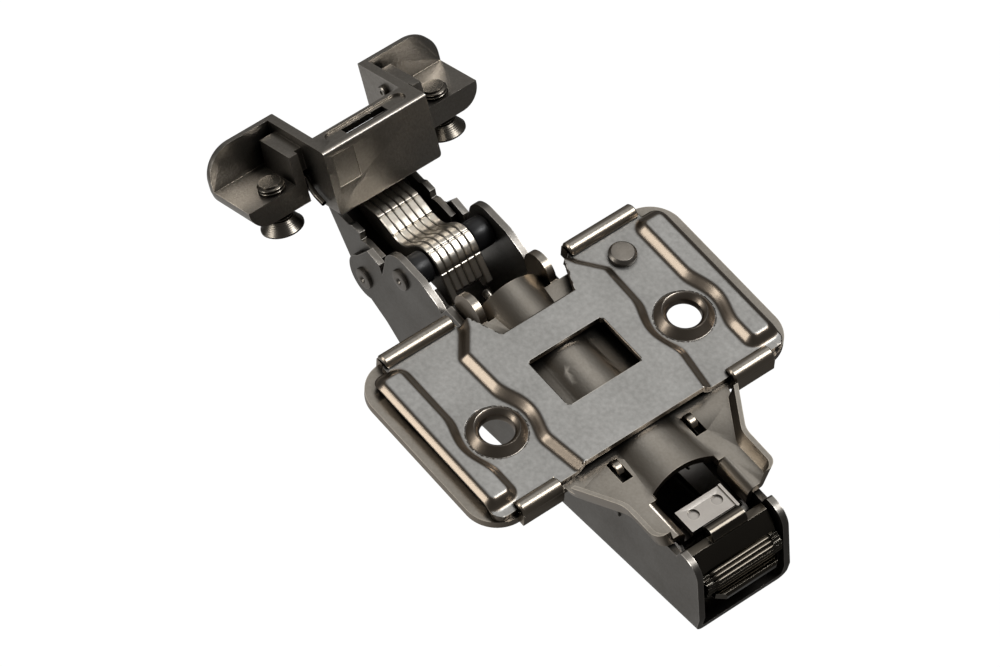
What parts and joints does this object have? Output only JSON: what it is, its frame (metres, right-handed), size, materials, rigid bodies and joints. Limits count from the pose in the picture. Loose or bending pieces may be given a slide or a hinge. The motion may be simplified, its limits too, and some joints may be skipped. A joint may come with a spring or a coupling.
{
  "type": "concealed cabinet hinge",
  "caption": "clip-on concealed hinge for narrow framed doors: sliding mounting plate, channel arm, laminated four-bar link and winged die-cast door block with countersunk screws",
  "frame": {"origin": "midway between the two plate screw holes, on the face that meets the cabinet side", "axes": "+X along the arm from the door block to the release lever, +Y along the hinge pins, +Z from the plate into the cabinet side"},
  "size_m": [0.0964, 0.0528, 0.0269],
  "materials": {
    "plate_grey": "satin nickel plate",
    "bright_steel": "bright nickel plate",
    "dark_steel": "dark satin nickel plate",
    "black_nickel": "polished black nickel",
    "die_cast": "gunmetal plating over die casting",
    "black_plastic": "moulded acetal"
  },
  "bodies": {
    "plate": {"base_plate": "plate_grey"},
    "slide_plate": {"carrier_plate": "plate_grey"},
    "height_adjuster": {"height_cam": "bright_steel"},
    "frame": {"inner_frame": "bright_steel", "hook_pin": "bright_steel", "lever_pin": "bright_steel"},
    "depth_adjuster": {"depth_cam": "bright_steel"},
    "lever": {"release_lever": "black_nickel"},
    "arm_body": {"arm": "dark_steel", "arm_pin_outer": "dark_steel", "arm_pin_inner": "dark_steel", "bush_left": "black_plastic", "bush_right": "black_plastic", "spring_pin": "bright_steel", "closing_spring": "bright_steel"},
    "side_adjuster": {"side_screw": "bright_steel"},
    "front_link": {"outer_link": "dark_steel"},
    "inner_link": {"link_plate_1": "bright_steel", "link_plate_2": "bright_steel", "link_plate_3": "bright_steel", "link_plate_4": "bright_steel", "link_plate_5": "bright_steel", "link_plate_6": "bright_steel", "link_end_pin": "bright_steel"},
    "door_block": {"cup_housing": "die_cast", "cup_pin": "dark_steel", "door_screw_left": "dark_steel", "door_screw_right": "dark_steel"}
  },
  "joints": [
    {"name": "height_slide", "type": "slide", "parent": "plate", "child": "slide_plate", "axis": [0, 1, 0], "range_m": [-0.0014, 0.0014]},
    {"name": "height_turn", "type": "hinge", "parent": "plate", "child": "height_adjuster", "pos_m": [-0.0128, 0.0156, 0], "axis": [0, 0, 1], "range_deg": [-75, 75]},
    {"name": "depth_slide", "type": "slide", "parent": "slide_plate", "child": "frame", "axis": [1, 0, 0], "range_m": [-0.00125, 0.00125]},
    {"name": "depth_turn", "type": "hinge", "parent": "frame", "child": "depth_adjuster", "pos_m": [0.0075, 0, 0], "axis": [0, 0, 1], "range_deg": [-75, 75]},
    {"name": "arm_tilt", "type": "hinge", "parent": "frame", "child": "arm_body", "pos_m": [0.0146, 0, -0.0096], "axis": [0, 1, 0], "range_deg": [-0.8, 0.8]},
    {"name": "side_turn", "type": "hinge", "parent": "arm_body", "child": "side_adjuster", "pos_m": [-0.008, 0, -0.01], "axis": [0, 0, 1], "range_deg": [-185, 185]},
    {"name": "lever_press", "type": "hinge", "parent": "frame", "child": "lever", "pos_m": [0.0274, 0, -0.0096], "axis": [0, 1, 0], "range_deg": [0, 12], "stiffness_Nm_per_rad": 0.2, "springref_deg": -11.46},
    {"name": "front_link_turn", "type": "hinge", "parent": "arm_body", "child": "front_link", "pos_m": [-0.0391, 0, -0.0163], "axis": [0, 1, 0], "range_deg": [-4.51, 10.17]},
    {"name": "inner_link_turn", "type": "hinge", "parent": "arm_body", "child": "inner_link", "pos_m": [-0.0312, 0, -0.00805], "axis": [0, 1, 0], "range_deg": [-7.52, 16.94]},
    {"name": "door_turn", "type": "hinge", "parent": "front_link", "child": "door_block", "pos_m": [-0.05153, 0, -0.00638], "axis": [0, 1, 0], "range_deg": [-75.67, 33.58]}
  ],
  "couplings": [
    {"joint": "height_turn", "follows": "height_slide", "rad_per_m": -748},
    {"joint": "depth_turn", "follows": "depth_slide", "rad_per_m": 837.76},
    {"joint": "side_turn", "follows": "arm_tilt", "ratio": 225},
    {"joint": "front_link_turn", "follows": "door_turn", "ratio": -0.13043},
    {"joint": "inner_link_turn", "follows": "door_turn", "ratio": -0.21739}
  ]
}
